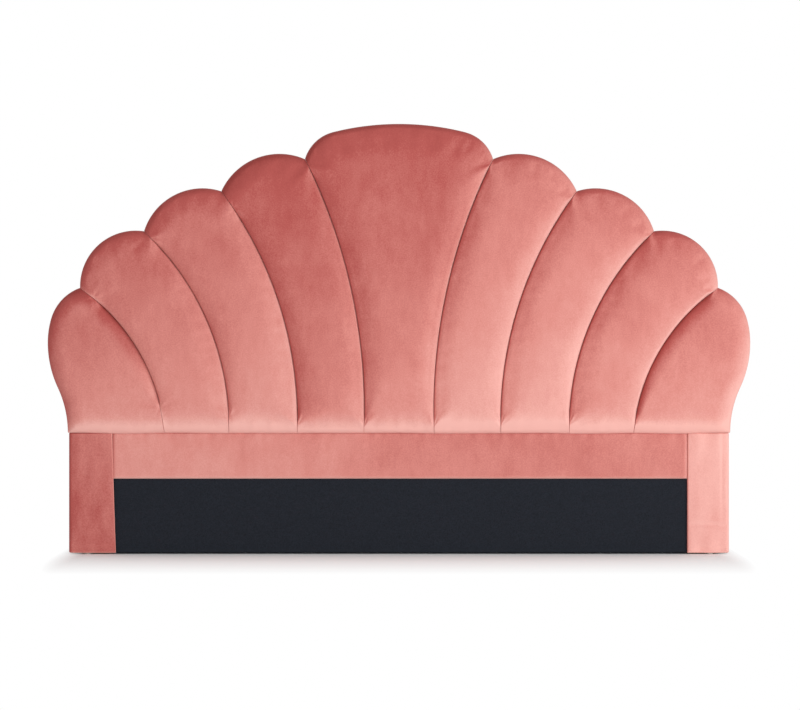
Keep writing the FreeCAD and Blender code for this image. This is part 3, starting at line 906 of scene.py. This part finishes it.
def nap_and_light_group():
    """The pile's lie from 0 to 1 with painted light and shade: the panel's own tone, plus the
    surface's direction, paler facing right and down as painted light and deeper facing left and up
    as painted shade, partly the way the pile is brushed, plus clouds and fine grain."""
    group, source, result = new_group(
        "velvet_nap_and_light",
        [("Tone", "NodeSocketFloat", 0.3), ("Cloud", "NodeSocketFloat", 0.12),
         ("Grain", "NodeSocketFloat", 0.1)],
        [("Color", "NodeSocketColor"), ("Height", "NodeSocketFloat")])
    tree = group
    geometry = tree.nodes.new("ShaderNodeNewGeometry")
    parts = tree.nodes.new("ShaderNodeSeparateXYZ")
    tree.links.new(geometry.outputs["Normal"], parts.inputs[0])
    # Painted light and shade from the surface's direction, partly the pile's lie.
    lean = maths(tree, "MULTIPLY", parts.outputs["X"], NAP_AND_LIGHT_RIGHT)
    nap_light_and_shade = maths(tree, "MULTIPLY", parts.outputs["Z"], NAP_AND_SHADE_UP)
    cloud = maths(tree, "SUBTRACT", noise(tree, 5.0, 4.0, 0.6), 0.5)
    cloud = maths(tree, "MULTIPLY", cloud, source.outputs["Cloud"])
    grain_value = noise(tree, 280.0, 3.0, 0.7)
    grain = maths(tree, "SUBTRACT", grain_value, 0.5)
    grain = maths(tree, "MULTIPLY", grain, source.outputs["Grain"])
    streak = maths(tree, "SUBTRACT", noise(tree, 45.0, 3.0, 0.6, (1.0, 1.0, 0.4)), 0.5)
    streak = maths(tree, "MULTIPLY", streak, 0.2)
    total = source.outputs["Tone"]
    for part in (lean, nap_light_and_shade, cloud, grain, streak):
        total = maths(tree, "ADD", total, part)
    shifted = maths(tree, "MULTIPLY", maths(tree, "ADD", total, 0.5), 1 / 1.5)
    colour = ramp(tree, shifted, [
        (0.0, linear(150, 62, 58)), (0.333, linear(180, 88, 83)),
        (0.62, linear(217, 139, 130)), (1.0, linear(244, 185, 175))])
    tree.links.new(colour, result.inputs["Color"])
    tree.links.new(grain_value, result.inputs["Height"])
    return group


velvet_nap_and_light = nap_and_light_group()


# %% Group: fine grain of plain finishes
def grain_group():
    """A colour made a little lighter and darker by noise, and that noise as a height."""
    group, source, result = new_group(
        "fine_grain",
        [("Color", "NodeSocketColor", None), ("Amount", "NodeSocketFloat", 0.2),
         ("Scale", "NodeSocketFloat", 400.0)],
        [("Color", "NodeSocketColor"), ("Height", "NodeSocketFloat")])
    tree = group
    coordinates = tree.nodes.new("ShaderNodeTexCoord")
    texture = tree.nodes.new("ShaderNodeTexNoise")
    texture.inputs["Detail"].default_value = 3
    tree.links.new(coordinates.outputs["Object"], texture.inputs["Vector"])
    tree.links.new(source.outputs["Scale"], texture.inputs["Scale"])
    swing = maths(tree, "MULTIPLY", maths(tree, "SUBTRACT", texture.outputs["Fac"], 0.5), 2.0)
    factor = maths(tree, "ADD", maths(tree, "MULTIPLY", swing, source.outputs["Amount"]), 1.0)
    scale = tree.nodes.new("ShaderNodeVectorMath")
    scale.operation = "SCALE"
    tree.links.new(source.outputs["Color"], scale.inputs[0])
    tree.links.new(factor, scale.inputs["Scale"])
    tree.links.new(scale.outputs[0], result.inputs["Color"])
    tree.links.new(texture.outputs["Fac"], result.inputs["Height"])
    return group


fine_grain = grain_group()


# %% Starting a material
def new_material(name, roughness, metallic=0.0):
    """A material with its Principled shader, and its tree."""
    material = bpy.data.materials.new(name)
    material.use_nodes = True
    tree = material.node_tree
    shader = tree.nodes["Principled BSDF"]
    shader.inputs["Roughness"].default_value = roughness
    shader.inputs["Metallic"].default_value = metallic
    return material, tree, shader


def bump(tree, shader, height, strength, distance):
    """A Bump node from a height to the shader's normal."""
    node = tree.nodes.new("ShaderNodeBump")
    node.inputs["Strength"].default_value = strength
    node.inputs["Distance"].default_value = distance
    tree.links.new(height, node.inputs["Height"])
    tree.links.new(node.outputs[0], shader.inputs["Normal"])


def placed(tree, group, **values):
    """A group placed in a material with its own values."""
    node = tree.nodes.new("ShaderNodeGroup")
    node.node_tree = group
    for key, value in values.items():
        node.inputs[key].default_value = value
    return node


# %% Velvet
velvet, tree, shader = new_material("velvet", 0.92)
tone = tree.nodes.new("ShaderNodeAttribute")
tone.attribute_name = "tone"
nap = placed(tree, velvet_nap_and_light, Cloud=0.45, Grain=0.5)
tree.links.new(tone.outputs["Fac"], nap.inputs["Tone"])
tree.links.new(nap.outputs["Color"], shader.inputs["Base Color"])
shader.inputs["Specular IOR Level"].default_value = 0.15
shader.inputs["Sheen Weight"].default_value = 0.25
shader.inputs["Sheen Roughness"].default_value = 0.45
shader.inputs["Sheen Tint"].default_value = linear(255, 205, 195)
bump(tree, shader, nap.outputs["Height"], 0.25, 0.3 * mm)
for piece in velvet_pieces:
    piece.data.materials.append(velvet)


# %% Plain finishes: cloths, foam, strips, plastic and steel
def grained(name, colour, roughness, amount, scale, metallic=0.0, depth=0.2 * mm, strength=0.4):
    """A material of one colour with fine grain in colour and height."""
    material, tree, shader = new_material(name, roughness, metallic)
    grain = placed(tree, fine_grain, Color=colour, Amount=amount, Scale=scale)
    tree.links.new(grain.outputs["Color"], shader.inputs["Base Color"])
    bump(tree, shader, grain.outputs["Height"], strength, depth)
    if metallic == 0:
        shader.inputs["Specular IOR Level"].default_value = 0.25
    return material


black_cloth = grained("black_cloth", linear(26, 30, 38), 0.9, 0.8, 330.0, depth=0.3 * mm)
dust_black = grained("dust_cloth", linear(50, 50, 53), 0.75, 0.6, 450.0)
strip_white = grained("pull_strip", linear(214, 208, 194), 0.7, 0.15, 500.0)
nylon = grained("glide_plastic", linear(196, 192, 184), 0.45, 0.08, 300.0, strength=0.15)
zinc = grained("screw_steel", linear(196, 190, 172), 0.32, 0.15, 900.0, 1.0, strength=0.1)
wire = grained("staple_steel", linear(188, 190, 194), 0.3, 0.12, 900.0, 1.0, strength=0.1)
front_cloth.data.materials.append(black_cloth)
dust.data.materials.append(dust_black)

# %% [markdown]
# ## Wood
# Softwood shows long streaks of pale early wood and darker late wood, and plywood shows its
# layers on its edges. Both are noise that is stretched along the grain. Rails lie across and
# uprights stand, so the stretch goes along each piece.


# %% Softwood and plywood
def softwood(name, stretch):
    """Pine: a slow noise, stretched along the grain, turned into rings by a sine."""
    material, tree, shader = new_material(name, 0.62)
    slow = noise(tree, 6.0, 3.0, 0.5, stretch)
    rings = maths(tree, "SINE", maths(tree, "MULTIPLY", slow, 70.0))
    rings = maths(tree, "ADD", maths(tree, "MULTIPLY", rings, 0.5), 0.5)
    fibre = noise(tree, 160.0, 2.0, 0.6, stretch)
    mix = maths(tree, "ADD", maths(tree, "MULTIPLY", rings, 0.6),
                maths(tree, "MULTIPLY", fibre, 0.4))
    colour = ramp(tree, mix, [(0.15, linear(226, 196, 150)), (0.6, linear(212, 174, 122)),
                              (1.0, linear(184, 138, 88))])
    tree.links.new(colour, shader.inputs["Base Color"])
    bump(tree, shader, mix, 0.2, 0.3 * mm)
    return material


rail_wood = softwood("timber_rail", (0.12, 1.6, 1.6))
upright_wood = softwood("timber_upright", (1.6, 1.6, 0.12))


PLY_PAIR = 3 * mm


def plywood(name):
    """Birch plywood: face grain, and layers as stripes through the thickness on the edges."""
    material, tree, shader = new_material(name, 0.6)
    face = noise(tree, 30.0, 4.0, 0.6, (0.1, 1.0, 1.4))
    face_colour = ramp(tree, face, [(0.3, linear(222, 196, 156)), (0.7, linear(203, 170, 124))])
    parts = tree.nodes.new("ShaderNodeSeparateXYZ")
    coordinates = tree.nodes.new("ShaderNodeTexCoord")
    tree.links.new(coordinates.outputs["Object"], parts.inputs[0])
    turns = maths(tree, "MULTIPLY", parts.outputs["Y"], 2 * math.pi / PLY_PAIR)
    layer = maths(tree, "SINE", turns)
    layer = maths(tree, "ADD", maths(tree, "MULTIPLY", layer, 0.5), 0.5)
    edge_colour = ramp(tree, layer, [(0.35, linear(150, 112, 72)), (0.65, linear(214, 184, 140))])
    geometry = tree.nodes.new("ShaderNodeNewGeometry")
    turned = tree.nodes.new("ShaderNodeSeparateXYZ")
    tree.links.new(geometry.outputs["Normal"], turned.inputs[0])
    on_face = maths(tree, "GREATER_THAN", maths(tree, "ABSOLUTE", turned.outputs["Y"]), 0.7)
    mix = tree.nodes.new("ShaderNodeMix")
    mix.data_type = "RGBA"
    tree.links.new(on_face, mix.inputs["Factor"])
    tree.links.new(edge_colour, mix.inputs["A"])
    tree.links.new(face_colour, mix.inputs["B"])
    colour_out = [o for o in mix.outputs if o.type == "RGBA"][0]
    tree.links.new(colour_out, shader.inputs["Base Color"])
    bump(tree, shader, face, 0.15, 0.2 * mm)
    return material


ply = plywood("plywood")

# %% Give every shown frame part its finish
FINISHES = [
    ("rim_", ply), ("fan_panel", ply), ("base_board", ply), ("pull_strips_", strip_white),
    ("bottom_rail", rail_wood), ("joint_rail", rail_wood), ("waist_rail", rail_wood),
    ("crown_rail", rail_wood), ("centre_stile", upright_wood), ("inner_stile", upright_wood),
    ("outer_stile", upright_wood), ("post_", upright_wood), ("glides", nylon),
    ("lap_screws", zinc), ("panel_screws", zinc), ("staples", wire),
]
for name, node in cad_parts.items():
    if node.hide_render:
        continue
    material = next(m for start, m in FINISHES if name.startswith(start))
    for place in node.material_slots:
        place.material = material
print("finished", sum(not n.hide_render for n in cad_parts.values()), "frame parts")

# %% [markdown]
# ## Floor, light and camera
# The studio is a white floor that fades into a white ground. A large lamp stands to the right,
# and the world gives soft light from all round. The camera looks straight at the front from
# far off, with a long lens, so that upright lines stay upright.


# %% Floor
def floor():
    """A wide square under the headboard, white away from it, grey where it is shaded."""
    size = 8.0
    mesh = bpy.data.meshes.new("studio_floor")
    corners = [(-size, -size, 0), (size, -size, 0), (size, size, 0), (-size, size, 0)]
    mesh.from_pydata(corners, [], [(0, 1, 2, 3)])
    obj = bpy.data.objects.new("studio_floor", mesh)
    bpy.context.scene.collection.objects.link(obj)
    material, tree, shader = new_material("studio_floor", 0.9)
    shader.inputs["Base Color"].default_value = (0.86, 0.86, 0.865, 1)
    shader.inputs["Specular IOR Level"].default_value = 0.1
    parts = tree.nodes.new("ShaderNodeSeparateXYZ")
    coordinates = tree.nodes.new("ShaderNodeTexCoord")
    tree.links.new(coordinates.outputs["Object"], parts.inputs[0])
    aside = maths(tree, "SUBTRACT", maths(tree, "ABSOLUTE", parts.outputs["X"]), 0.88)
    aside = maths(tree, "MAXIMUM", maths(tree, "MULTIPLY", aside, 14.0), 0.0)
    ahead = maths(tree, "SUBTRACT", maths(tree, "ABSOLUTE", parts.outputs["Y"]), 0.05)
    ahead = maths(tree, "MAXIMUM", maths(tree, "MULTIPLY", ahead, 1.9), 0.0)
    square = maths(tree, "ADD", maths(tree, "POWER", aside, 2.0), maths(tree, "POWER", ahead, 2.0))
    far = maths(tree, "MINIMUM", maths(tree, "SQRT", square), 1.0)
    seen = seen_directly(tree)
    white = tree.nodes.new("ShaderNodeEmission")
    white.inputs["Color"].default_value = (1, 1, 1, 1)
    mix = tree.nodes.new("ShaderNodeMixShader")
    tree.links.new(maths(tree, "MULTIPLY", far, seen), mix.inputs[0])
    tree.links.new(shader.outputs[0], mix.inputs[1])
    tree.links.new(white.outputs[0], mix.inputs[2])
    tree.links.new(mix.outputs[0], tree.nodes["Material Output"].inputs["Surface"])
    mesh.materials.append(material)
    return obj


studio_floor = floor()

# %% World
WORLD_LEVEL = 0.62
world = bpy.data.worlds.new("studio")
bpy.context.scene.world = world
world.use_nodes = True
tree = world.node_tree
tree.nodes.clear()
seen = seen_directly(tree)
level = maths(tree, "ADD", maths(tree, "MULTIPLY", seen, 1 - WORLD_LEVEL), WORLD_LEVEL)
background = tree.nodes.new("ShaderNodeBackground")
background.inputs["Color"].default_value = (1, 1, 1, 1)
tree.links.new(level, background.inputs["Strength"])
output = tree.nodes.new("ShaderNodeOutputWorld")
tree.links.new(background.outputs[0], output.inputs["Surface"])


# %% Lamps
def lamp(name, place, aim, size, energy):
    """A square lamp that looks from its place at a point."""
    light = bpy.data.lights.new(name, "AREA")
    light.shape = "SQUARE"
    light.size = size
    light.energy = energy
    obj = bpy.data.objects.new(name, light)
    bpy.context.scene.collection.objects.link(obj)
    obj.location = place
    obj.rotation_euler = (Vector(aim) - Vector(place)).to_track_quat("-Z", "Y").to_euler()
    return obj


lamp("key_right", (3.6, -2.6, 1.5), (0.1, 0, 0.55), 1.6, 50)
lamp("fill_front", (-0.6, -5.0, 2.4), (0, 0, 0.6), 2.5, 35)
lamp("low_front", (0.4, -3.0, 0.25), (0, 0, 0.35), 1.2, 20)

# %% Camera
camera = bpy.data.objects.new("camera", bpy.data.cameras.new("camera"))
bpy.context.scene.collection.objects.link(camera)
camera.location = (2.8 * mm, front_y - 6.0, 0.555)
camera.rotation_euler = (math.pi / 2, 0, 0)
camera.data.lens = 97.3
camera.data.sensor_width = 36
camera.data.clip_end = 60
bpy.context.scene.camera = camera
bpy.context.scene.view_settings.view_transform = "Standard"
